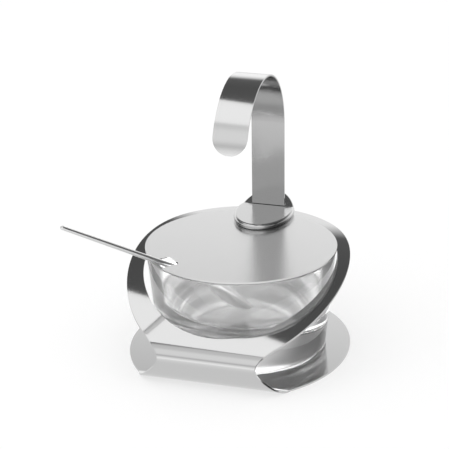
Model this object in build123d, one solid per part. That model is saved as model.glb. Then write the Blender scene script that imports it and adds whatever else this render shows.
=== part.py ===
"""Table pot for grated parmesan: a clear glass bowl held by one bent sheet of
brushed stainless steel, with a hooked carrying handle, a flat lid that tips up
when its thumb plate is pressed, and a spoon that rests in a notch in the lid.

Millimetres. +Z is up and z = 0 is the table. The bowl and the lid share the
axis x = 0, y = 0. The pot faces -Y, where the sheet is rolled over, and the
handle stands at the back, at +Y.
"""
from build123d import *
import math
import os

# Sheet metal of the stand
SHEET = 1.0               # thickness of the stand's sheet
ROLL_RADIUS = 14.0        # outside radius of the roll at the front, whose axis is below the bowl's rim
ROLL_SWEEP = 150.0        # degrees the sheet turns in the roll
NECK_HALF_WIDTH = 26.7    # half the sheet's width at the narrowest point of the roll
NECK_TURN = 100.0         # degrees from straight down to that point
NECK_IN = ((0.33, 0.73), (0.58, 0.45), (0.79, 0.16))  # share of the turn, share of the extra width
NECK_OUT = (0.5, 0.33)    # the same on the way from the neck to the ring
HOLE_FRONT_GAP = 4.9      # ring's hole in front of the bowl's rim
HOLE_SIDE_GAP = 0.9       # beside it
HOLE_BACK_GAP = 1.1       # and behind it
RING_FRONT_BAND = 14.7    # from the hole to where the ring's outline would close under the roll
RING_SIDE_BAND = 7.5      # ring beside the bowl, from the hole to the outside
RING_BACK_BAND = 8.5      # ring behind the bowl
RING_LEVEL_RUN = 17.0     # level stretch at the back of the ring
BASE_BACK_REACH = 3.5     # how far the base plate reaches behind the ring

# Glass bowl
BOWL_HEIGHT = 55.7
BOWL_RIM_RADIUS = 51.4
BOWL_FOOT_INSET = 5.4     # how much narrower the bowl is at its foot
BOWL_RIM_WALL = 2.2
BOWL_FLOOR_WALL = 4.0     # wall where it would meet the floor, before rounding
BOWL_FLOOR = 17.0         # thickness of the heavy glass base
BOWL_FOOT_ROUND = 3.0     # outside rounding at the foot
BOWL_FOOT_RING = 6.0      # width of the ring that the bowl stands on, with its roundings
BOWL_RECESS = 0.8         # depth of the hollow inside that ring
BOWL_INSIDE_ROUND = 20.0  # inside rounding at the floor
RIM_ROUND = 1.0

# Lid
LID_OVERHANG = 0.6        # lid beyond the bowl's rim
LID_THICKNESS = 1.0
SEAT_GAP = 0.3            # air between a resting piece and its seat
NOTCH_WIDTH = 12.0
NOTCH_DEPTH = 10.7
NOTCH_ROUND = 2.0

# Thumb plate on the lid
PLATE_THICKNESS = 3.3
PLATE_HALF_WIDTH = 16.5
PLATE_FRONT = 33.2        # from the crease to the front end
PLATE_TAIL = 12.4         # from the crease to the tail's end, along the tail
PLATE_WAIST = 8.0         # from the widest place back to the crease
PLATE_EDGE_ROUND = 1.5
TAIL_ANGLE = 30.0         # degrees, how far the tail is bent up
CREASE_RADIUS = 1.5
SLOT_SIDE_GAP = 0.3       # slot beside the handle strap
SLOT_FRONT_GAP = 0.65     # slot in front of the strap
SLOT_BACK_GAP = 2.5       # slot behind the strap, room for the lid to tip

# Handle
STRAP_WIDTH = 18.9
STRAP_THICKNESS = 1.0
STRAP_LID_GAP = 1.0       # between the lid's edge and the strap
POT_HEIGHT = 148.0        # table to the top of the hook
HOOK_RADIUS = 37.2        # outside radius of the hook
HOOK_SWEEP = 173.0        # degrees from the strap round to the hook's end
FOOT_BEND = 0.5           # inside radius where the strap turns under the ring
FOOT_LENGTH = 6.2         # strap's foot, from its back face to its end
FOOT_CORNER = 2.0
STRAP_NOTCH_GAP = 0.3     # notch in the ring round the strap

# Fasteners
RIVET_RADIUS = 1.3
RIVET_HEAD_RADIUS = 2.3
RIVET_HEAD_HEIGHT = 1.0
RIVET_HEAD_TOP = 1.7      # radius of a head's flat end
RIVET_SINK = 0.8          # depth of the countersink
FOOT_RIVET_SPACING = 11.0
FOOT_RIVET_BACK = 3.7     # from the strap's back face to the rivets
LID_RIVET_RADIUS = 1.5
LID_RIVET_HEAD_RADIUS = 3.0
LID_RIVET_HEAD_HEIGHT = 1.0
LID_RIVET_HEAD_TOP = 2.1  # radius of the head's flat end
LID_RIVET_GRIP = 2.2      # how far a lid rivet goes into the thumb plate
LID_RIVET_FRONT = 12.0    # plate's front end to the first rivet
LID_RIVET_SPACING = 13.0

# Spoon
SPOON_FLOOR_GAP = 0.6     # between the spoon's lowest point and the glass floor
SPOON_HEADING = 225.3     # degrees round from +X, to the front left, in which the handle points
SPOON_SHIFT = 2.0         # how far the handle's line passes in front of the pot's axis
SPOON_OUTSIDE = 64.5      # from the rim to the handle's tip
SPOON_HANDLE_WIDTH = 4.0  # oval handle where it passes over the rim
SPOON_HANDLE_THICKNESS = 3.3
SPOON_TIP_WIDTH = 2.6
SPOON_TIP_THICKNESS = 2.2
SPOON_STRAIGHT = 14.0     # straight handle inside the rim, before the neck
SPOON_NECK_WIDTH = 6.4    # neck where it meets the spoon's bowl
SPOON_NECK_THICKNESS = 1.8
SPOON_BOWL_REACH = 48.5   # from the rim to the middle of the spoon's bowl
SPOON_BOWL_DROP = 4.5     # how far the bowl's edge lies below the handle's line
SPOON_BOWL_TILT = 12.0    # degrees the bowl's edge dips more steeply than the handle
SPOON_BOWL_LENGTH = 34.0
SPOON_BOWL_WIDTH = 23.0
SPOON_BOWL_DEPTH = 6.5
SPOON_WALL = 1.1
SPOON_JOIN = 0.85         # where the neck meets the bowl, as a share of the bowl's half-length

# Worked out from the sizes above
bowl_rim_z = SHEET + BOWL_HEIGHT
floor_z = SHEET + BOWL_FLOOR
lid_z = bowl_rim_z + SEAT_GAP
lid_top_z = lid_z + LID_THICKNESS
lid_radius = BOWL_RIM_RADIUS + LID_OVERHANG
ring_top_z = lid_z - SEAT_GAP
ring_under_z = ring_top_z - SHEET
roll_y = -BOWL_RIM_RADIUS
hole_half_width = BOWL_RIM_RADIUS + HOLE_SIDE_GAP
hole_front_y = -BOWL_RIM_RADIUS - HOLE_FRONT_GAP
hole_back_y = BOWL_RIM_RADIUS + HOLE_BACK_GAP
ring_half_width = hole_half_width + RING_SIDE_BAND
notch_angle = SPOON_HEADING + math.degrees(math.asin(SPOON_SHIFT / BOWL_RIM_RADIUS))
ring_front_y = hole_front_y - RING_FRONT_BAND
ring_back_y = hole_back_y + RING_BACK_BAND
ring_level_y = ring_back_y - RING_LEVEL_RUN
base_back_y = ring_back_y + BASE_BACK_REACH
strap_front_y = lid_radius + STRAP_LID_GAP
strap_back_y = strap_front_y + STRAP_THICKNESS
plate_top_z = lid_top_z + PLATE_THICKNESS
crease_y = strap_back_y
hook_axis_y = strap_back_y - HOOK_RADIUS
hook_axis_z = POT_HEIGHT - HOOK_RADIUS
BEYOND = 20.0             # how far a cutter reaches past what it cuts


def outline_half_width(y, front_y, back_y):
    """Half-width at y of the stand's elliptical outline between a front and a back end."""
    share = (2 * y - front_y - back_y) / (back_y - front_y)
    return ring_half_width * math.sqrt(max(0.0, 1.0 - share * share))


def roll_point(angle, radius):
    """Point (y, z) on the roll, angle in degrees from straight down, towards the front."""
    turn = math.radians(angle)
    return (roll_y - radius * math.sin(turn), ROLL_RADIUS - radius * math.cos(turn))


def ring_arcs():
    """Points (y, z) of the two arcs that carry the sheet from the roll up to its level back.

    They meet above the bowl's axis. An arc rises by its run times the tangent of the mean of
    its slopes at the two ends. The slope where the arcs meet is found by halving an interval
    until the rises add up.
    """
    start_y, start_z = roll_point(ROLL_SWEEP, ROLL_RADIUS)
    steep = math.radians(180.0 - ROLL_SWEEP)
    front_run = -start_y
    back_run = ring_level_y
    low, high = 0.0, steep
    for _ in range(60):
        meet = (low + high) / 2
        rise = front_run * math.tan((steep + meet) / 2) + back_run * math.tan(meet / 2)
        if start_z + rise < ring_top_z:
            low = meet
        else:
            high = meet
    front_radius = front_run / (math.sin(steep) - math.sin(meet))
    back_radius = back_run / math.sin(meet)
    points = []
    for start, radius, first, last in (
        ((start_y, start_z), front_radius, steep, meet),
        ((0.0, start_z + front_run * math.tan((steep + meet) / 2)), back_radius, meet, 0.0),
    ):
        ends = []
        for slope in (first, (first + last) / 2, last):
            ends.append((
                start[0] + radius * (math.sin(first) - math.sin(slope)),
                start[1] + radius * (math.cos(slope) - math.cos(first)),
            ))
        points.append(ends)
    return points


def in_side_view(*edges):
    """Edges drawn as (y, z), placed on the plane that the pot is symmetric about."""
    return Plane.YZ * Wire(list(edges))


def strip(path, thickness, side, width):
    """Sheet strip of one width that follows a path seen from the side."""
    section = make_face(offset(path, amount=thickness, side=side, closed=True))
    return extrude(section, amount=width / 2, both=True)


def upright(sketch, low, high):
    """Solid that stands over a plan view outline, from one height to another."""
    return extrude(Pos(0, 0, low) * sketch, amount=high - low)


def plan_band(low_y, high_y, half_width):
    return Pos(0, (low_y + high_y) / 2) * Rectangle(2 * half_width, high_y - low_y)


def plan_ellipse(front_y, back_y, half_width):
    length = back_y - front_y
    return Pos(0, (front_y + back_y) / 2) * Rotation(0, 0, 90) * Ellipse(length / 2, half_width)


def neck_cutter():
    """What is cut from the roll's +X end, with the cut square to the sheet.

    The half-width runs from the base plate's outline, through the neck, to the ring's outline.
    """
    start = outline_half_width(roll_y, ring_front_y, base_back_y)
    slack = SHEET / 2
    edges = []
    for radius in (ROLL_RADIUS + slack, ROLL_RADIUS - SHEET - slack):
        end = outline_half_width(roll_point(ROLL_SWEEP, radius)[0], ring_front_y, ring_back_y)
        stations = [(0.0, start)]
        for turn_share, width_share in NECK_IN:
            half = NECK_HALF_WIDTH + width_share * (start - NECK_HALF_WIDTH)
            stations.append((turn_share * NECK_TURN, half))
        stations.append((NECK_TURN, NECK_HALF_WIDTH))
        turn_share, width_share = NECK_OUT
        stations.append((
            NECK_TURN + turn_share * (ROLL_SWEEP - NECK_TURN),
            NECK_HALF_WIDTH + width_share * (end - NECK_HALF_WIDTH),
        ))
        stations.append((ROLL_SWEEP, end))
        points = [(half, *roll_point(angle, radius)) for angle, half in stations]
        edges.append(Spline(*points))
    cut = Face.make_surface_from_curves(edges[0].edge(), edges[1].edge())
    return extrude(cut, amount=ring_half_width + BEYOND, dir=(1, 0, 0))


def make_stand():
    """One sheet: base plate, roll at the front, and the ring that holds the bowl."""
    leave = roll_point(ROLL_SWEEP, ROLL_RADIUS)
    front_arc, back_arc = ring_arcs()
    path = in_side_view(
        Line((base_back_y + BEYOND, 0), (roll_y, 0)),
        ThreePointArc((roll_y, 0), roll_point(ROLL_SWEEP / 2, ROLL_RADIUS), leave),
        ThreePointArc(*front_arc),
        ThreePointArc(*back_arc),
        Line(back_arc[-1], (ring_back_y + BEYOND, ring_top_z)),
    )
    sheet = strip(path, SHEET, Side.RIGHT, 2 * (ring_half_width + BEYOND))

    wide = ring_half_width + 2 * BEYOND
    far_back = base_back_y + 2 * BEYOND
    base_waste = plan_band(roll_y, far_back, wide) - plan_ellipse(
        ring_front_y, base_back_y, ring_half_width)
    ring_waste = plan_band(leave[0], far_back, wide) - plan_ellipse(
        ring_front_y, ring_back_y, ring_half_width)
    hole = plan_ellipse(hole_front_y, hole_back_y, hole_half_width)
    strap_notch = plan_band(
        hole_back_y - BEYOND,
        strap_back_y + FOOT_BEND + STRAP_NOTCH_GAP,
        STRAP_WIDTH / 2 + STRAP_NOTCH_GAP,
    )
    between_z = 0.5 * ROLL_RADIUS
    sheet -= upright(base_waste, -SHEET, between_z)
    sheet -= upright(ring_waste, between_z + ROLL_RADIUS, ring_top_z + BEYOND)
    sheet -= upright(hole, ROLL_RADIUS, ring_top_z + BEYOND)
    sheet -= upright(strap_notch, ring_under_z - SHEET, ring_top_z + BEYOND)
    cutter = neck_cutter()
    sheet -= cutter
    sheet -= mirror(cutter, Plane.YZ)
    for place in foot_rivet_places():
        sheet -= place * foot_rivet()
    return sheet


def foot_rivet_places():
    y = strap_back_y + FOOT_RIVET_BACK
    return [Pos(side * FOOT_RIVET_SPACING / 2, y, ring_top_z) for side in (-1, 1)]


def foot_rivet():
    """Countersunk flush with the ring's top, and headed under the strap's foot."""
    foot_under = -SHEET - STRAP_THICKNESS
    profile = Polyline(
        (0, 0), (RIVET_HEAD_RADIUS, 0), (RIVET_RADIUS, -RIVET_SINK),
        (RIVET_RADIUS, foot_under), (RIVET_HEAD_RADIUS, foot_under),
        (RIVET_HEAD_TOP, foot_under - RIVET_HEAD_HEIGHT),
        (0, foot_under - RIVET_HEAD_HEIGHT), (0, 0),
    )
    return revolve(make_face(Plane.XZ * profile), Axis.Z)


def make_foot_rivets():
    return Compound([place * foot_rivet() for place in foot_rivet_places()])


def make_bowl():
    """Turned section of the bowl: straight sloping walls, a thick floor and a rounded rim."""
    rim_inside = BOWL_RIM_RADIUS - BOWL_RIM_WALL
    foot_radius = BOWL_RIM_RADIUS - BOWL_FOOT_INSET
    floor_inside = foot_radius + BOWL_FOOT_INSET * BOWL_FLOOR / BOWL_HEIGHT - BOWL_FLOOR_WALL
    recess_z = SHEET + BOWL_RECESS
    recess_radius = foot_radius - BOWL_FOOT_RING
    profile = Polyline(
        (0, recess_z), (recess_radius - BOWL_RECESS, recess_z), (recess_radius, SHEET),
        (foot_radius, SHEET), (BOWL_RIM_RADIUS, bowl_rim_z), (rim_inside, bowl_rim_z),
        (floor_inside, floor_z), (0, floor_z), (0, recess_z),
    )
    section = make_face(Plane.XZ * profile)
    body = revolve(section, Axis.Z)
    for level, radius in (
        (SHEET, BOWL_FOOT_ROUND), (bowl_rim_z, RIM_ROUND), (floor_z, BOWL_INSIDE_ROUND),
    ):
        rings = body.edges().filter_by(GeomType.CIRCLE)
        body = fillet(rings.filter_by(
            lambda e: abs(e.center().Z - level) < 0.01 and e.radius > recess_radius + 0.01), radius)
    return body


def lid_rivet_places():
    front_y = crease_y - PLATE_FRONT + LID_RIVET_FRONT
    return [Pos(0, front_y + step * LID_RIVET_SPACING, lid_z) for step in (0, 1)]


def lid_rivet():
    """Low head under the lid and a shank that ends inside the thumb plate."""
    top = LID_THICKNESS + LID_RIVET_GRIP
    profile = Polyline(
        (0, top), (LID_RIVET_RADIUS, top), (LID_RIVET_RADIUS, 0), (LID_RIVET_HEAD_RADIUS, 0),
        (LID_RIVET_HEAD_TOP, -LID_RIVET_HEAD_HEIGHT), (0, -LID_RIVET_HEAD_HEIGHT), (0, top),
    )
    return revolve(make_face(Plane.XZ * profile), Axis.Z)


def make_lid_rivets():
    return Compound([place * lid_rivet() for place in lid_rivet_places()])


def make_lid():
    """Flat disc with a notch open at its edge, where the spoon's handle comes out."""
    lid = Pos(0, 0, lid_z) * Cylinder(
        lid_radius, LID_THICKNESS, align=(Align.CENTER, Align.CENTER, Align.MIN))
    reach = NOTCH_DEPTH + BEYOND
    notch = Pos(lid_radius - NOTCH_DEPTH + reach / 2, 0) * RectangleRounded(
        reach, NOTCH_WIDTH, NOTCH_ROUND)
    lid -= upright(Rotation(0, 0, notch_angle) * notch, lid_z - 1, lid_top_z + 1)
    for place in lid_rivet_places():
        lid -= place * lid_rivet()
    return lid


def make_thumb_plate():
    """Oval plate riveted to the lid. Its tail is bent up behind the strap, which stands in a slot."""
    turn = math.radians(TAIL_ANGLE)
    far = PLATE_TAIL + BEYOND
    path = Plane.YZ * FilletPolyline(
        (crease_y + far * math.cos(turn), lid_top_z + far * math.sin(turn)),
        (crease_y, lid_top_z),
        (crease_y - PLATE_FRONT - BEYOND, lid_top_z),
        radius=CREASE_RADIUS + PLATE_THICKNESS,
    )
    plate = strip(path, PLATE_THICKNESS, Side.RIGHT, 2 * (PLATE_HALF_WIDTH + BEYOND))
    widest_y = crease_y - PLATE_WAIST
    tail_plan = PLATE_WAIST + PLATE_TAIL * math.cos(turn)
    front_reach = PLATE_FRONT - PLATE_WAIST
    front = plan_ellipse(widest_y - front_reach, widest_y + front_reach, PLATE_HALF_WIDTH)
    back = plan_ellipse(widest_y - tail_plan, widest_y + tail_plan, PLATE_HALF_WIDTH)
    wide = PLATE_HALF_WIDTH + BEYOND
    outline = (front & plan_band(widest_y - PLATE_FRONT, widest_y, wide)) + (
        back & plan_band(widest_y, widest_y + PLATE_FRONT, wide))
    plate &= upright(outline, lid_top_z - 1, plate_top_z + far)
    rim = [e for e in plate.edges() if e.length > 5 and not e.geom_type == GeomType.LINE]
    plate = fillet(ShapeList(rim), PLATE_EDGE_ROUND)
    slot = plan_band(
        strap_front_y - SLOT_FRONT_GAP,
        strap_back_y + SLOT_BACK_GAP,
        STRAP_WIDTH / 2 + SLOT_SIDE_GAP,
    )
    plate -= upright(slot, lid_top_z - 1, plate_top_z + BEYOND)
    for place in lid_rivet_places():
        plate -= place * lid_rivet()
    return plate


def make_handle():
    """Strap with its foot under the ring, rising behind the lid and curling forward into a hook."""
    foot_z = ring_under_z - STRAP_THICKNESS
    bend = FOOT_BEND + STRAP_THICKNESS
    sweep = math.radians(HOOK_SWEEP)
    inner = HOOK_RADIUS - STRAP_THICKNESS
    hook_end = (hook_axis_y + inner * math.cos(sweep), hook_axis_z + inner * math.sin(sweep))
    path = in_side_view(
        Line((strap_back_y + FOOT_LENGTH, foot_z), (strap_front_y + bend, foot_z)),
        ThreePointArc(
            (strap_front_y + bend, foot_z),
            (strap_front_y + bend * (1 - math.sqrt(0.5)), foot_z + bend * (1 - math.sqrt(0.5))),
            (strap_front_y, foot_z + bend),
        ),
        Line((strap_front_y, foot_z + bend), (strap_front_y, hook_axis_z)),
        ThreePointArc(
            (strap_front_y, hook_axis_z),
            (hook_axis_y + inner * math.cos(sweep / 2), hook_axis_z + inner * math.sin(sweep / 2)),
            hook_end,
        ),
    )
    strap = strip(path, STRAP_THICKNESS, Side.RIGHT, STRAP_WIDTH)
    round_z = hook_end[1] + STRAP_WIDTH / 2
    end_block = Pos(0, hook_end[0], hook_end[1]) * Box(
        STRAP_WIDTH + BEYOND, BEYOND, STRAP_WIDTH, align=Align.CENTER)
    end_round = Pos(0, hook_end[0], round_z) * Rotation(90, 0, 0) * Cylinder(STRAP_WIDTH / 2, 2 * BEYOND)
    strap -= end_block - end_round
    foot_corners = [
        e for e in strap.edges().filter_by(Axis.Z)
        if e.center().Z < ring_under_z and e.center().Y > strap_back_y + FOOT_BEND
    ]
    strap = fillet(ShapeList(foot_corners), FOOT_CORNER)
    for place in foot_rivet_places():
        strap -= place * foot_rivet()
    return strap


def spoon_slope(lift):
    """Steepness of the handle, found by halving until the spoon clears the glass floor.

    The handle's middle line lies this lift off the centre of the rim's rounding. The lowest
    point of the spoon's bowl is that of a tilted ellipsoid.
    """
    low, high = 0.0, math.pi / 4
    for _ in range(60):
        slope = (low + high) / 2
        dip = slope + math.radians(SPOON_BOWL_TILT)
        middle_z = bowl_rim_z - RIM_ROUND - SPOON_BOWL_REACH * math.sin(slope) + (
            lift - SPOON_BOWL_DROP) * math.cos(slope)
        under = math.hypot(SPOON_BOWL_LENGTH / 2 * math.sin(dip), SPOON_BOWL_DEPTH * math.cos(dip))
        if middle_z - under > floor_z + SPOON_FLOOR_GAP:
            low = slope
        else:
            high = slope
    return slope


def spoon_plane():
    """Plane with x along the spoon's handle, outwards, where the handle passes over the rim."""
    around = math.radians(SPOON_HEADING)
    out_x, out_y = math.cos(around), math.sin(around)
    lift = RIM_ROUND + SEAT_GAP + SPOON_HANDLE_THICKNESS / 2
    slope = spoon_slope(lift)
    radius = BOWL_RIM_RADIUS - BOWL_RIM_WALL / 2 - lift * math.sin(slope)
    height = bowl_rim_z - RIM_ROUND + lift * math.cos(slope)
    return Plane(
        origin=(radius * out_x - SPOON_SHIFT * out_y, radius * out_y + SPOON_SHIFT * out_x, height),
        x_dir=(out_x * math.cos(slope), out_y * math.cos(slope), math.sin(slope)),
        z_dir=(-out_x * math.sin(slope), -out_y * math.sin(slope), math.cos(slope)),
    )


def make_spoon():
    """Straight tapered handle of oval section, a neck that bends down, and a shallow oval bowl."""
    tilt = math.radians(SPOON_BOWL_TILT)
    half = SPOON_BOWL_LENGTH / 2
    join_x = -SPOON_BOWL_REACH + SPOON_JOIN * half * math.cos(tilt)
    join_z = -SPOON_BOWL_DROP + SPOON_JOIN * half * math.sin(tilt)

    def section(x, z, width, thick):
        return Pos(x, 0, z) * Rotation(0, 90, 0) * Ellipse(thick / 2, width / 2)

    neck_start = section(-SPOON_STRAIGHT, 0.0, SPOON_HANDLE_WIDTH, SPOON_HANDLE_THICKNESS)
    tip_x = SPOON_OUTSIDE - SPOON_TIP_WIDTH / 2
    handle = loft([neck_start, section(tip_x, 0.0, SPOON_TIP_WIDTH, SPOON_TIP_THICKNESS)])
    handle += Pos(tip_x, 0, 0) * scale(Sphere(1.0), by=(
        SPOON_TIP_WIDTH / 2, SPOON_TIP_WIDTH / 2, SPOON_TIP_THICKNESS / 2))
    neck = loft([neck_start, section(join_x, join_z, SPOON_NECK_WIDTH, SPOON_NECK_THICKNESS)])
    place = Pos(-SPOON_BOWL_REACH, 0, -SPOON_BOWL_DROP) * Rotation(0, -SPOON_BOWL_TILT, 0)
    outer = place * scale(Sphere(1.0), by=(half, SPOON_BOWL_WIDTH / 2, SPOON_BOWL_DEPTH))
    inner = place * scale(Sphere(1.0), by=(
        half - SPOON_WALL, SPOON_BOWL_WIDTH / 2 - SPOON_WALL, SPOON_BOWL_DEPTH - SPOON_WALL))
    below_edge = place * Box(
        2 * SPOON_BOWL_LENGTH, 2 * SPOON_BOWL_WIDTH, 2 * SPOON_BOWL_DEPTH,
        align=(Align.CENTER, Align.CENTER, Align.MAX))
    spoon = handle + neck + (outer & below_edge) - inner
    return spoon_plane() * spoon


PARTS = {
    "stand_sheet": make_stand,
    "foot_rivets": make_foot_rivets,
    "glass_bowl": make_bowl,
    "carrying_handle": make_handle,
    "lid_disc": make_lid,
    "thumb_plate": make_thumb_plate,
    "lid_rivets": make_lid_rivets,
    "spoon": make_spoon,
}

os.makedirs("parts", exist_ok=True)
for node, make in PARTS.items():
    export_step(make(), f"parts/{node}.step")
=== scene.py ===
"""Looks of a table pot for grated parmesan: its steel and glass, and the studio it stands in.

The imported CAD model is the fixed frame. Sizes here are written in millimetres and multiplied
by MM where they enter Blender, which works in metres. The pot faces -Y and +Z is up.
"""
import math

import bpy
import numpy as np
from mathutils import Matrix, Vector


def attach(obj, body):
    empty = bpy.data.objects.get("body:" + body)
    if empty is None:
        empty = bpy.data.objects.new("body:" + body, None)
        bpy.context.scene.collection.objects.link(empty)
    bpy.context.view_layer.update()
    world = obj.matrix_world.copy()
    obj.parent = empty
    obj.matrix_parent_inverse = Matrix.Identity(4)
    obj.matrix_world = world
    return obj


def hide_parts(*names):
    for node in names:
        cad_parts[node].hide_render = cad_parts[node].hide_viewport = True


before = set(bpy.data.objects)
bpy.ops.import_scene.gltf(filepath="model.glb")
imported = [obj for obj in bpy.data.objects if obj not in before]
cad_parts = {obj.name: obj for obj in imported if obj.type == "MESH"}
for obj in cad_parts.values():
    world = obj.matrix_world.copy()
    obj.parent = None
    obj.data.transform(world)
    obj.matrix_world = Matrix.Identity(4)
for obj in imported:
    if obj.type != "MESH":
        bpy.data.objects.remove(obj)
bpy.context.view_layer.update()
MM = 0.001


# Camera. It stands in front of the pot and to its right, looking down at the middle of it.
# The lens is long, so that the lid's near and far edges are almost the same width.
CAMERA_AZIMUTH = 17.7       # degrees from straight in front, towards +X
CAMERA_ELEVATION = 21.69
CAMERA_ROLL = -0.853
CAMERA_DISTANCE = 1000.0    # to the plane through the point it is aimed by
AIM_HEIGHT = 58.0
AIM_LEFT = 8.96             # how far the pot's middle lies right of the frame's middle
AIM_UP = 10.69              # and below it
SENSOR = 36.0
FOCAL_LENGTH = 148.17
CLIP_START = 50.0
CLIP_END = 50000.0

azimuth = math.radians(CAMERA_AZIMUTH)
elevation = math.radians(CAMERA_ELEVATION)
roll = math.radians(CAMERA_ROLL)
forward = Vector((-math.sin(azimuth) * math.cos(elevation),
                  math.cos(azimuth) * math.cos(elevation), -math.sin(elevation)))
level_right = Vector((math.cos(azimuth), math.sin(azimuth), 0.0))
level_up = level_right.cross(forward)
right = math.cos(roll) * level_right + math.sin(roll) * level_up
up = math.cos(roll) * level_up - math.sin(roll) * level_right
stand_point = Vector((0, 0, AIM_HEIGHT)) - CAMERA_DISTANCE * forward - AIM_LEFT * right + AIM_UP * up
camera_data = bpy.data.cameras.new("photo_camera")
camera_data.sensor_width = SENSOR
camera_data.lens = FOCAL_LENGTH
camera_data.clip_start = CLIP_START * MM
camera_data.clip_end = CLIP_END * MM
camera = bpy.data.objects.new("photo_camera", camera_data)
camera.matrix_world = Matrix.Translation(stand_point * MM) @ Matrix(
    (right, up, -forward)).transposed().to_4x4()
bpy.context.scene.collection.objects.link(camera)
bpy.context.scene.camera = camera
bpy.context.scene.view_settings.view_transform = "Standard"


def linear(hex_colour):
    """An sRGB hex colour as linear red, green, blue and alpha."""
    parts = [int(hex_colour[i:i + 2], 16) / 255 for i in (0, 2, 4)]
    return [p / 12.92 if p <= 0.04045 else ((p + 0.055) / 1.055) ** 2.4 for p in parts] + [1.0]


def add_node(tree, kind, settings=(), values=(), links=()):
    """Adds one node: settings are its properties, values its sockets, links socket to output."""
    node = tree.nodes.new(kind)
    for name, value in dict(settings).items():
        setattr(node, name, value)
    for name, value in dict(values).items():
        node.inputs[name].default_value = value
    for name, output in dict(links).items():
        tree.links.new(output, node.inputs[name])
    return node


def new_material(name):
    """An empty node material and its node tree."""
    material = bpy.data.materials.new(name)
    material.use_nodes = True
    material.node_tree.nodes.clear()
    return material, material.node_tree


# Studio room. A bright wall stands behind the pot, the ceiling is dark, and pale air lies in
# front. Steel mirrors it by the pitch of a ray about the pot's left to right axis, and it is
# darker to the pot's right. Glass passes on a bright plain white, and all other light from the
# room is plain white.
ROOM_PITCHES = (
    # degrees up from the back horizon over the top to the front horizon, brightness there
    (-30.0, 0.95), (0.0, 1.1), (16.0, 1.28), (24.0, 1.08), (34.0, 0.13), (60.0, 0.10),
    (116.0, 0.12), (126.0, 0.75), (137.0, 0.8), (146.0, 1.0), (162.0, 1.0),
    (170.0, 0.64), (178.0, 1.1), (210.0, 1.15),
)
ROOM_BRIGHTEST = max(brightness for angle, brightness in ROOM_PITCHES)
ROOM_FIRST_PITCH = -60.0    # pitch at which the ramp starts, in the table's part of the room
FULL_TURN = 360.0
ROOM_RIGHT_START = 0.55     # how far right a ray points where the room begins to darken
ROOM_RIGHT_END = 0.85       # and where it is darkest
ROOM_RIGHT_LEFT_OVER = 0.3  # brightness that is left at the right
ROOM_LIGHT = 1.0            # brightness of the plain white
ROOM_THROUGH_GLASS = 3.8    # brightness of the room as the glass passes it on

room = bpy.data.worlds.new("studio_room")
bpy.context.scene.world = room
room.use_nodes = True
tree = room.node_tree
tree.nodes.clear()
ray = add_node(tree, "ShaderNodeTexCoord")
ray_parts = add_node(tree, "ShaderNodeSeparateXYZ", links={0: ray.outputs["Generated"]})
pitch = add_node(tree, "ShaderNodeMath", {"operation": "ARCTAN2"},
                 links={0: ray_parts.outputs["Z"], 1: ray_parts.outputs["Y"]})
pitch_share = add_node(tree, "ShaderNodeMapRange", values={
    "From Min": math.radians(ROOM_FIRST_PITCH),
    "From Max": math.radians(ROOM_FIRST_PITCH + FULL_TURN)}, links={"Value": pitch.outputs[0]})
room_ramp = add_node(tree, "ShaderNodeValToRGB", links={"Fac": pitch_share.outputs["Result"]})
stops = room_ramp.color_ramp.elements
while len(stops) < len(ROOM_PITCHES):
    stops.new(1.0)
for stop, (angle, brightness) in zip(stops, ROOM_PITCHES):
    stop.position = (angle - ROOM_FIRST_PITCH) / FULL_TURN
    stop.color = [brightness / ROOM_BRIGHTEST] * 3 + [1.0]
right_side = add_node(tree, "ShaderNodeMapRange", {"interpolation_type": "SMOOTHSTEP"}, values={
    "From Min": ROOM_RIGHT_START, "From Max": ROOM_RIGHT_END, "To Min": ROOM_BRIGHTEST,
    "To Max": ROOM_BRIGHTEST * ROOM_RIGHT_LEFT_OVER}, links={"Value": ray_parts.outputs["X"]})
room_seen = add_node(tree, "ShaderNodeBackground", links={
    "Color": room_ramp.outputs["Color"], "Strength": right_side.outputs["Result"]})
ray_kind = add_node(tree, "ShaderNodeLightPath")
plain_level = add_node(tree, "ShaderNodeMapRange", values={
    "To Min": ROOM_LIGHT, "To Max": ROOM_THROUGH_GLASS},
    links={"Value": ray_kind.outputs["Is Transmission Ray"]})
room_plain = add_node(tree, "ShaderNodeBackground", values={
    "Color": linear("ffffff")}, links={"Strength": plain_level.outputs["Result"]})
room_mix = add_node(tree, "ShaderNodeMixShader", links={
    0: ray_kind.outputs["Is Glossy Ray"], 1: room_plain.outputs[0], 2: room_seen.outputs[0]})
add_node(tree, "ShaderNodeOutputWorld", links={"Surface": room_mix.outputs[0]})


# Table. A wide white laminate top, lit almost to pure white, that keeps a faint shadow. Steel
# mirrors it greyer near the pot, which shades it, and brighter towards the camera.
TABLE_REACH = 6000.0        # from the middle to each side
TABLE_GLOW = 0.6            # share of the table's own white that the camera sees
TABLE_MIRROR_NEAR = 0.86    # brightness in the steel, near the pot and far in front of it
TABLE_MIRROR_FAR = 1.25
TABLE_THROUGH_GLASS = 2.6   # brightness that the glass passes on
TABLE_NEAR_Y = -90.0        # where near ends and far begins
TABLE_FAR_Y = -320.0

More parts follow.
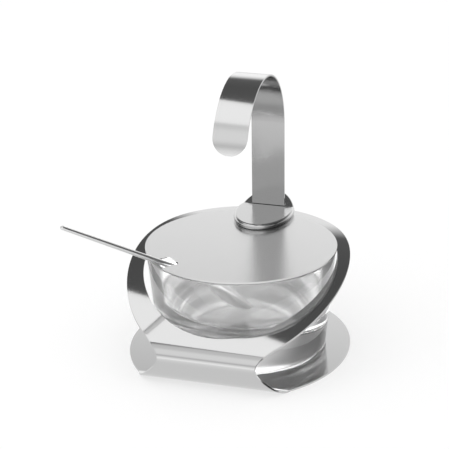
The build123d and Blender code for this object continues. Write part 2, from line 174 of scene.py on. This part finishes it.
table_material, tree = new_material("white_laminate_table")
table_face = add_node(tree, "ShaderNodeBsdfDiffuse", values={"Color": linear("ffffff")})
place = add_node(tree, "ShaderNodeTexCoord")
place_parts = add_node(tree, "ShaderNodeSeparateXYZ", links={0: place.outputs["Object"]})
mirror_level = add_node(tree, "ShaderNodeMapRange", values={
    "From Min": TABLE_NEAR_Y * MM, "From Max": TABLE_FAR_Y * MM, "To Min": TABLE_MIRROR_NEAR,
    "To Max": TABLE_MIRROR_FAR}, links={"Value": place_parts.outputs["Y"]})
ray_kind = add_node(tree, "ShaderNodeLightPath")
mirror_ray = add_node(tree, "ShaderNodeMath", {"operation": "MAXIMUM"}, links={
    0: ray_kind.outputs["Is Glossy Ray"], 1: ray_kind.outputs["Is Transmission Ray"]})
table_white = add_node(tree, "ShaderNodeEmission", values={"Color": linear("ffffff"), "Strength": 1.0})
seen_level = add_node(tree, "ShaderNodeMapRange", values={"To Max": TABLE_THROUGH_GLASS}, links={
    "Value": ray_kind.outputs["Is Transmission Ray"], "To Min": mirror_level.outputs["Result"]})
table_mirror = add_node(tree, "ShaderNodeEmission", values={"Color": linear("ffffff")},
                        links={"Strength": seen_level.outputs["Result"]})
glow = add_node(tree, "ShaderNodeMath", {"operation": "MULTIPLY"}, values={1: TABLE_GLOW},
                links={0: ray_kind.outputs["Is Camera Ray"]})
table_seen = add_node(tree, "ShaderNodeMixShader", links={
    0: glow.outputs[0], 1: table_face.outputs[0], 2: table_white.outputs[0]})
table_mix = add_node(tree, "ShaderNodeMixShader", links={
    0: mirror_ray.outputs[0], 1: table_seen.outputs[0], 2: table_mirror.outputs[0]})
add_node(tree, "ShaderNodeOutputMaterial", links={"Surface": table_mix.outputs[0]})
corner = TABLE_REACH * MM
mesh = bpy.data.meshes.new("table_top")
mesh.from_pydata([(-corner, -corner, 0), (corner, -corner, 0), (corner, corner, 0),
                  (-corner, corner, 0)], [], [(0, 1, 2, 3)])
mesh.materials.append(table_material)
table = bpy.data.objects.new("table_top", mesh)
bpy.context.scene.collection.objects.link(table)


# Softbox. A white fabric panel hangs over the pot's front left, turned so that its back edge
# runs obliquely. Its edges are what draws the bright and dark fields on the steel.
SOFTBOX_BACK_POINT = (-60.0, -6.0, 310.0)   # a point on its back edge
SOFTBOX_TURN = -32.0        # degrees, heading of that edge from +X
SOFTBOX_LEFT = 300.0        # reach of the panel to each side of the point
SOFTBOX_RIGHT = 240.0
SOFTBOX_DEPTH = 345.0       # back edge to front edge
SOFTBOX_RISE = 26.5         # degrees, how much higher its front edge hangs
SOFTBOX_BRIGHTNESS = 1.25

heading = math.radians(SOFTBOX_TURN)
rise = math.radians(SOFTBOX_RISE)
along = np.array((math.cos(heading), math.sin(heading), 0.0))
to_front = np.array((math.sin(heading) * math.cos(rise), -math.cos(heading) * math.cos(rise),
                     math.sin(rise)))
softbox_material, tree = new_material("white_softbox_fabric")
fabric = add_node(tree, "ShaderNodeEmission", values={
    "Color": linear("ffffff"), "Strength": SOFTBOX_BRIGHTNESS})
open_air = add_node(tree, "ShaderNodeBsdfTransparent", values={"Color": linear("ffffff")})
ray_kind = add_node(tree, "ShaderNodeLightPath")
mirror_ray = add_node(tree, "ShaderNodeMath", {"operation": "MAXIMUM"}, links={
    0: ray_kind.outputs["Is Glossy Ray"], 1: ray_kind.outputs["Is Transmission Ray"]})
fabric_mix = add_node(tree, "ShaderNodeMixShader", links={
    0: mirror_ray.outputs[0], 1: open_air.outputs[0], 2: fabric.outputs[0]})
add_node(tree, "ShaderNodeOutputMaterial", links={"Surface": fabric_mix.outputs[0]})
back_left = np.array(SOFTBOX_BACK_POINT) - along * SOFTBOX_LEFT
back_right = np.array(SOFTBOX_BACK_POINT) + along * SOFTBOX_RIGHT
panel = np.array((back_left, back_right, back_right + to_front * SOFTBOX_DEPTH,
                  back_left + to_front * SOFTBOX_DEPTH)) * MM
mesh = bpy.data.meshes.new("softbox_panel")
mesh.from_pydata(panel.tolist(), [], [(0, 1, 2, 3)])
mesh.materials.append(softbox_material)
softbox = bpy.data.objects.new("softbox_panel", mesh)
bpy.context.scene.collection.objects.link(softbox)


# Lamp. A large soft one at the front left gives the pot its faint shadow to the right.
LAMP_PLACE = (-420.0, -330.0, 620.0)
LAMP_SIZE = 420.0
LAMP_POWER = 0.5

lamp_data = bpy.data.lights.new("soft_lamp", "AREA")
lamp_data.size = LAMP_SIZE * MM
lamp_data.energy = LAMP_POWER
lamp = bpy.data.objects.new("soft_lamp", lamp_data)
lamp.matrix_world = Matrix.Translation(Vector(LAMP_PLACE) * MM) @ Vector(
    LAMP_PLACE).to_track_quat("Z", "Y").to_matrix().to_4x4()
lamp.visible_glossy = False
lamp.visible_transmission = False
bpy.context.scene.collection.objects.link(lamp)


# Stand. One sheet of 18/10 stainless steel, 1 mm thick, laser cut, brushed along the roll, and
# bent into a base plate, a roll at the front and the ring round the bowl. Two rivets at the back
# of the ring hold the handle's foot.
SHEET_COLOUR = "cfcfcf"
SHEET_ROUGHNESS = 0.07
GRAIN_PITCH = 0.25          # spacing of the brush lines, drawn coarser than the real 0.05 to show
GRAIN_RUN = 18.0            # length of a brush line
GRAIN_DEPTH = 0.002
GRAIN_FINENESS = 2.0        # octaves of finer lines within the coarse ones
GRAIN_SPREAD = 0.15         # share by which the roughness goes up and down from line to line
GRAIN_STRETCH = 0.2         # how far reflections are drawn out across the lines
ALONG_X = 0
ALONG_Y = 1


def brushed_steel(name, colour, roughness, grain_axis):
    """Stainless steel with brush lines along one axis.

    The lines are noise drawn out along that axis. They tilt the surface a little and change its
    roughness, and reflections are drawn out across them.
    """
    material, tree = new_material(name)
    place = add_node(tree, "ShaderNodeTexCoord")
    scale = [1.0 / (GRAIN_PITCH * MM)] * 3
    scale[grain_axis] = 1.0 / (GRAIN_RUN * MM)
    drawn_out = add_node(tree, "ShaderNodeMapping", values={"Scale": scale},
                         links={"Vector": place.outputs["Object"]})
    lines = add_node(tree, "ShaderNodeTexNoise", values={"Scale": 1.0, "Detail": GRAIN_FINENESS},
                     links={"Vector": drawn_out.outputs[0]})
    line_roughness = add_node(tree, "ShaderNodeMapRange", values={
        "To Min": roughness * (1.0 - GRAIN_SPREAD), "To Max": roughness * (1.0 + GRAIN_SPREAD)},
        links={"Value": lines.outputs["Fac"]})
    line_tilt = add_node(tree, "ShaderNodeBump", values={
        "Strength": 1.0, "Distance": GRAIN_DEPTH * MM}, links={"Height": lines.outputs["Fac"]})
    across = [1.0, 1.0, 1.0]
    across[grain_axis] = 0.0
    cross_direction = add_node(tree, "ShaderNodeCombineXYZ", values=dict(zip("XYZ", across)))
    steel = add_node(tree, "ShaderNodeBsdfPrincipled", values={
        "Base Color": linear(colour), "Metallic": 1.0, "Anisotropic": GRAIN_STRETCH},
        links={"Roughness": line_roughness.outputs["Result"], "Normal": line_tilt.outputs["Normal"],
               "Tangent": cross_direction.outputs[0]})
    add_node(tree, "ShaderNodeOutputMaterial", links={"Surface": steel.outputs[0]})
    return material


def dress(node, material):
    """Gives a CAD node its finish."""
    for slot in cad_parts[node].material_slots:
        slot.material = material


# Brushed stainless sheet: soft grey mirror whose reflections have blurred edges and fine lines.
sheet_steel = brushed_steel("brushed_stainless_sheet", SHEET_COLOUR, SHEET_ROUGHNESS, ALONG_X)
dress("stand_sheet", sheet_steel)
dress("foot_rivets", sheet_steel)


# Bowl. Heavy soda-lime glass, pressed, with straight sloping walls, a rim rounded by fire
# polishing, and a thick floor over a shallow recess underneath. The inside and the recess are
# lightly etched. It stands on the base plate.
BOWL_AXIS_STEPS = 192       # facets round the bowl
BOWL_ROUND_STEPS = 14       # points along each rounding
BASE_TOP = 1.0              # height of the base plate's top
BOWL_LIFT = 0.02            # air under the foot
GLASS_IOR = 1.5
GLASS_ROUGHNESS = 0.04
GLASS_SHADOW_COLOUR = "f0f0f0"  # what light keeps when it goes through to a shadow
ETCHED_COLOUR = "f4f4f4"
ETCHED_ROUGHNESS = 0.1
ETCHED_SHARE = 0.2          # share of the light that the etched faces scatter
ETCHED_THROUGH_SHARE = 0.5  # share of the scattered light that goes on through the face
ETCHED_BOTTOM = 10.0        # the inside lies above this height and within the wall's middle
ETCHED_FOOT_RADIUS = 44.0   # radius of the wall's middle at the table, and its gain per height
ETCHED_SLOPE = 0.1
ETCHED_RECESS_TOP = 2.0     # the recess underneath lies below this height and inside this radius
ETCHED_RECESS_RADIUS = 40.0
BOWL_PROFILE = (
    # radius, height, rounding of the corner, from the recess underneath round to the floor
    (0.0, 1.8, 0.0), (39.2, 1.8, 0.3), (40.0, 1.0, 0.3), (46.0, 1.0, 3.0), (51.4, 56.7, 1.0),
    (49.2, 56.7, 1.0), (43.65, 18.0, 20.0), (0.0, 18.0, 0.0),
)


def rounded_profile(corners, steps):
    """Profile with its corners replaced by arcs.

    At each corner the arc is the circle of the given radius that touches both sides. Its centre
    lies on the bisector at radius over the sine of half the corner's angle, and points on it are
    taken at even turns between the two touching points.
    """
    points = np.array([corner[:2] for corner in corners])
    runs = [points[:1]]
    for before, here, after, radius in zip(points[:-2], points[1:-1], points[2:],
                                           [corner[2] for corner in corners[1:-1]]):
        back = (before - here) / np.linalg.norm(before - here)
        ahead = (after - here) / np.linalg.norm(after - here)
        half = math.acos(float(back @ ahead)) / 2
        centre = here + (back + ahead) / np.linalg.norm(back + ahead) * radius / math.sin(half)
        first = here + back * radius / math.tan(half) - centre
        last = here + ahead * radius / math.tan(half) - centre
        start = math.atan2(first[1], first[0])
        turn = (math.atan2(last[1], last[0]) - start + math.pi) % (2 * math.pi) - math.pi
        angles = start + turn * np.linspace(0.0, 1.0, steps)
        runs.append(centre + radius * np.column_stack((np.cos(angles), np.sin(angles))))
    runs.append(points[-1:])
    return np.vstack(runs)


def turned_mesh(name, profile, steps):
    """Closed solid of revolution about the Z axis.

    A point of the profile (r, z) at turn a lies at (r cos a, r sin a, z). The profile starts and
    ends on the axis, where one vertex closes each pole. Its order gives outward faces.
    """
    turns = np.arange(steps) * 2 * math.pi / steps
    rings = profile[1:-1]
    grid = np.stack((np.outer(rings[:, 0], np.cos(turns)), np.outer(rings[:, 0], np.sin(turns)),
                     np.repeat(rings[:, 1:], steps, axis=1)), axis=-1).reshape(-1, 3)
    poles = np.array([(0.0, 0.0, profile[0, 1]), (0.0, 0.0, profile[-1, 1])])
    index = np.arange(len(grid)).reshape(len(rings), steps)
    beside = np.roll(index, -1, axis=1)
    quads = np.stack((index[:-1], beside[:-1], beside[1:], index[1:]), axis=-1).reshape(-1, 4)
    low_fan = np.column_stack((np.full(steps, len(grid)), beside[0], index[0]))
    high_fan = np.column_stack((np.full(steps, len(grid) + 1), index[-1], beside[-1]))
    mesh = bpy.data.meshes.new(name)
    mesh.from_pydata(np.vstack((grid, poles)) * MM, [],
                     quads.tolist() + low_fan.tolist() + high_fan.tolist())
    mesh.shade_smooth()
    mesh.update()
    return mesh


# Clear soda-lime glass: colourless, with bright and dark streaks where its walls bend light.
glass, tree = new_material("clear_soda_lime_glass")
clear = add_node(tree, "ShaderNodeBsdfPrincipled", values={
    "Base Color": linear("ffffff"), "Roughness": GLASS_ROUGHNESS, "IOR": GLASS_IOR,
    "Transmission Weight": 1.0})
let_through = add_node(tree, "ShaderNodeBsdfTransparent", values={
    "Color": linear(GLASS_SHADOW_COLOUR)})
ray_kind = add_node(tree, "ShaderNodeLightPath")
shadow_mix = add_node(tree, "ShaderNodeMixShader", links={
    0: ray_kind.outputs["Is Shadow Ray"], 1: clear.outputs[0], 2: let_through.outputs[0]})
add_node(tree, "ShaderNodeOutputMaterial", links={"Surface": shadow_mix.outputs[0]})

# Etched glass: a light satin that makes the bowl pale and softens what is seen through it.
etched_glass, tree = new_material("satin_etched_glass_inside")
blurred = add_node(tree, "ShaderNodeBsdfPrincipled", values={
    "Base Color": linear("ffffff"), "Roughness": ETCHED_ROUGHNESS, "IOR": GLASS_IOR,
    "Transmission Weight": 1.0})
sent_back = add_node(tree, "ShaderNodeBsdfDiffuse", values={"Color": linear(ETCHED_COLOUR)})
sent_through = add_node(tree, "ShaderNodeBsdfTranslucent", values={"Color": linear(ETCHED_COLOUR)})
scattered = add_node(tree, "ShaderNodeMixShader", values={0: ETCHED_THROUGH_SHARE}, links={
    1: sent_back.outputs[0], 2: sent_through.outputs[0]})
etched = add_node(tree, "ShaderNodeMixShader", values={0: ETCHED_SHARE}, links={
    1: blurred.outputs[0], 2: scattered.outputs[0]})
ray_kind = add_node(tree, "ShaderNodeLightPath")
let_through = add_node(tree, "ShaderNodeBsdfTransparent", values={
    "Color": linear(GLASS_SHADOW_COLOUR)})
shadow_mix = add_node(tree, "ShaderNodeMixShader", links={
    0: ray_kind.outputs["Is Shadow Ray"], 1: etched.outputs[0], 2: let_through.outputs[0]})
add_node(tree, "ShaderNodeOutputMaterial", links={"Surface": shadow_mix.outputs[0]})

bowl_profile = rounded_profile(BOWL_PROFILE, BOWL_ROUND_STEPS)
bowl_profile[:, 1] = np.maximum(bowl_profile[:, 1], BASE_TOP + BOWL_LIFT)
bowl_mesh = turned_mesh("pressed_glass_bowl", bowl_profile, BOWL_AXIS_STEPS)
bowl_mesh.materials.append(glass)
bowl_mesh.materials.append(etched_glass)
middles = np.empty(3 * len(bowl_mesh.polygons))
bowl_mesh.polygons.foreach_get("center", middles)
middles = middles.reshape(-1, 3) / MM
face_height = middles[:, 2]
face_radius = np.hypot(middles[:, 0], middles[:, 1])
is_inside = (face_height > ETCHED_BOTTOM) & (
    face_radius < ETCHED_FOOT_RADIUS + ETCHED_SLOPE * face_height)
is_in_recess = (face_height < ETCHED_RECESS_TOP) & (face_radius < ETCHED_RECESS_RADIUS)
bowl_mesh.polygons.foreach_set("material_index", (is_inside | is_in_recess).astype(np.int32))
bowl = bpy.data.objects.new("pressed_glass_bowl", bowl_mesh)
bpy.context.scene.collection.objects.link(bowl)
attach(bowl, "stand")
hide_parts("glass_bowl")


# Handle. A strap of the same steel, 1 mm thick, brushed, bent into a hook with a rounded free end
# and riveted under the ring by its foot. Inside the bend it has painted shade, a darker colour.
STRAP_COLOUR = "d2d2d2"
# Painted shade: the darker colour inside the hook's bend, where the hook hides the room.
STRAP_PAINTED_SHADE_COLOUR = "b0b0b0"
STRAP_ROUGHNESS = 0.15
STRAP_INSIDE_RADIUS = 36.7  # from the hook's axis to the middle of the strap
HOOK_AXIS_Y = 16.8
HOOK_AXIS_Z = 110.8
ANY_DEPTH = -1.0            # lower than any depth of the pot in metres, so it limits nothing

# Brushed strap: a clear grey mirror outside, and a darker one inside the bend, with painted shade in
# its colour. A point is inside when it lies nearer to the hook's axis, or to the plane below that
# axis, than the strap's middle.
strap_steel = brushed_steel("brushed_stainless_strap", STRAP_COLOUR, STRAP_ROUGHNESS, ALONG_Y)
tree = strap_steel.node_tree
place = add_node(tree, "ShaderNodeTexCoord")
from_axis = add_node(tree, "ShaderNodeVectorMath", {"operation": "SUBTRACT"}, {
    1: (0.0, HOOK_AXIS_Y * MM, HOOK_AXIS_Z * MM)}, {0: place.outputs["Object"]})
above_axis = add_node(tree, "ShaderNodeVectorMath", {"operation": "MAXIMUM"}, {
    1: (0.0, ANY_DEPTH, 0.0)}, {0: from_axis.outputs[0]})
in_side_view = add_node(tree, "ShaderNodeVectorMath", {"operation": "MULTIPLY"}, {
    1: (0.0, 1.0, 1.0)}, {0: above_axis.outputs[0]})
reach = add_node(tree, "ShaderNodeVectorMath", {"operation": "LENGTH"}, (), {
    0: in_side_view.outputs[0]})
# Mask for the painted shade inside the bend.
painted_shade_inner_face = add_node(tree, "ShaderNodeMath", {"operation": "LESS_THAN"}, {
    1: STRAP_INSIDE_RADIUS * MM}, {0: reach.outputs["Value"]})
strap_painted_shade = add_node(tree, "ShaderNodeMix", {"data_type": "RGBA"}, {
    6: linear(STRAP_COLOUR), 7: linear(STRAP_PAINTED_SHADE_COLOUR)}, {0: painted_shade_inner_face.outputs[0]})
tree.links.new(strap_painted_shade.outputs[2], tree.nodes["Principled BSDF"].inputs["Base Color"])
dress("carrying_handle", strap_steel)


# Lid. A flat disc of the same steel, 1 mm thick, brushed from front to back, with a notch cut in
# its rim for the spoon. It lies on the bowl and tilts up about its edge at the strap.
LID_COLOUR = "dcdcdc"
LID_ROUGHNESS = 0.24

# Satin stainless disc: a pale field in which the strap shows only as a soft darker band.
lid_steel = brushed_steel("satin_stainless_lid", LID_COLOUR, LID_ROUGHNESS, ALONG_Y)
dress("lid_disc", lid_steel)


# Thumb plate. A thick oval of solid steel, brushed on top and polished round its rim, with its
# tail bent up behind the strap. Two rivets hold it to the lid.
PLATE_COLOUR = "cfcfcf"
PLATE_ROUGHNESS = 0.2

# Brushed stainless plate: soft grey top and a bright line along the rounded rim.
plate_steel = brushed_steel("brushed_stainless_plate", PLATE_COLOUR, PLATE_ROUGHNESS, ALONG_Y)
dress("thumb_plate", plate_steel)
dress("lid_rivets", plate_steel)


# Spoon. Forged stainless steel with a soft polish all over. It leans in the bowl with its handle
# out through the lid's notch, and draws out along its own slope.
SPOON_COLOUR = "e4e4e4"
SPOON_ROUGHNESS = 0.3

# Polished stainless: brighter than the sheet and without lines, with soft highlights along it.
polished_steel, tree = new_material("polished_stainless_spoon")
shine = add_node(tree, "ShaderNodeBsdfPrincipled", values={
    "Base Color": linear(SPOON_COLOUR), "Metallic": 1.0, "Roughness": SPOON_ROUGHNESS})
add_node(tree, "ShaderNodeOutputMaterial", links={"Surface": shine.outputs[0]})
dress("spoon", polished_steel)
